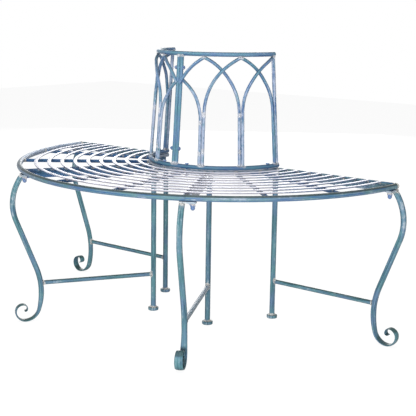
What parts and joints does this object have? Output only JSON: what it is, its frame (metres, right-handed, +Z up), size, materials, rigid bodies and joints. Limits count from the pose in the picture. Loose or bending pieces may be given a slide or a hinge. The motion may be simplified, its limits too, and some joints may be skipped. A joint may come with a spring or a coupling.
{
  "type": "tree bench",
  "caption": "Half-round garden bench that wraps a tree trunk, with a ring-slatted seat, scroll legs and a leaning arcade back of bent iron rods.",
  "frame": {"origin": "on the floor under the middle of the bench's bounding box", "axes": "+X along the straight open side towards the right end seen from the front, +Y from the rounded front edge towards the tree, +Z up"},
  "size_m": [1.2902, 0.6219, 0.7923],
  "materials": {
    "seat_frame": "brushed-on blue and teal enamel over wrought iron, rubbed pale on the crowns",
    "slats": "blue enamel rubbed back to a pale lavender undercoat on flat iron strip",
    "legs": "brushed-on teal and blue enamel over forged iron",
    "back": "brushed-on blue enamel over bent iron rod, rubbed pale in places",
    "fasteners": "thick blue enamel over steel studs, bolts and nuts"
  },
  "bodies": {
    "root": {"arch_first_in_left": "back", "arch_first_in_right": "back", "arch_first_out_left": "back", "arch_first_out_right": "back", "arch_joint_left": "back", "arch_joint_right": "back", "arch_post_left": "back", "arch_post_right": "back", "arch_second_in_left": "back", "arch_second_in_right": "back", "arch_second_out_left": "back", "arch_second_out_right": "back", "bottom_rail_left": "back", "bottom_rail_right": "back", "edge_bar_left": "seat_frame", "edge_bar_right": "seat_frame", "end_post_left": "back", "end_post_right": "back", "foot_cap_front_left": "legs", "foot_cap_front_right": "legs", "foot_cap_left": "legs", "foot_cap_right": "legs", "inner_leg_front_left": "legs", "inner_leg_front_right": "legs", "inner_leg_left": "legs", "inner_leg_right": "legs", "inner_rim_front": "seat_frame", "inner_rim_left": "seat_frame", "inner_rim_right": "seat_frame", "joint_bars_left": "seat_frame", "joint_bars_right": "seat_frame", "joint_post_left": "back", "joint_post_right": "back", "leg_flanges": "legs", "leg_studs": "fasteners", "outer_rim_front": "seat_frame", "outer_rim_left": "seat_frame", "outer_rim_right": "seat_frame", "panel_bolts": "fasteners", "panel_nuts": "fasteners", "rim_plates": "legs", "scroll_leg_front_left": "legs", "scroll_leg_front_right": "legs", "scroll_leg_left": "legs", "scroll_leg_right": "legs", "seat_bolts": "fasteners", "seat_nuts": "fasteners", "slats_front": "slats", "slats_left": "slats", "slats_right": "slats", "spokes_front": "seat_frame", "spokes_left": "seat_frame", "spokes_right": "seat_frame", "stretcher_front_left": "legs", "stretcher_front_right": "legs", "stretcher_left": "legs", "stretcher_right": "legs", "top_rail_left": "back", "top_rail_right": "back"}
  },
  "joints": []
}
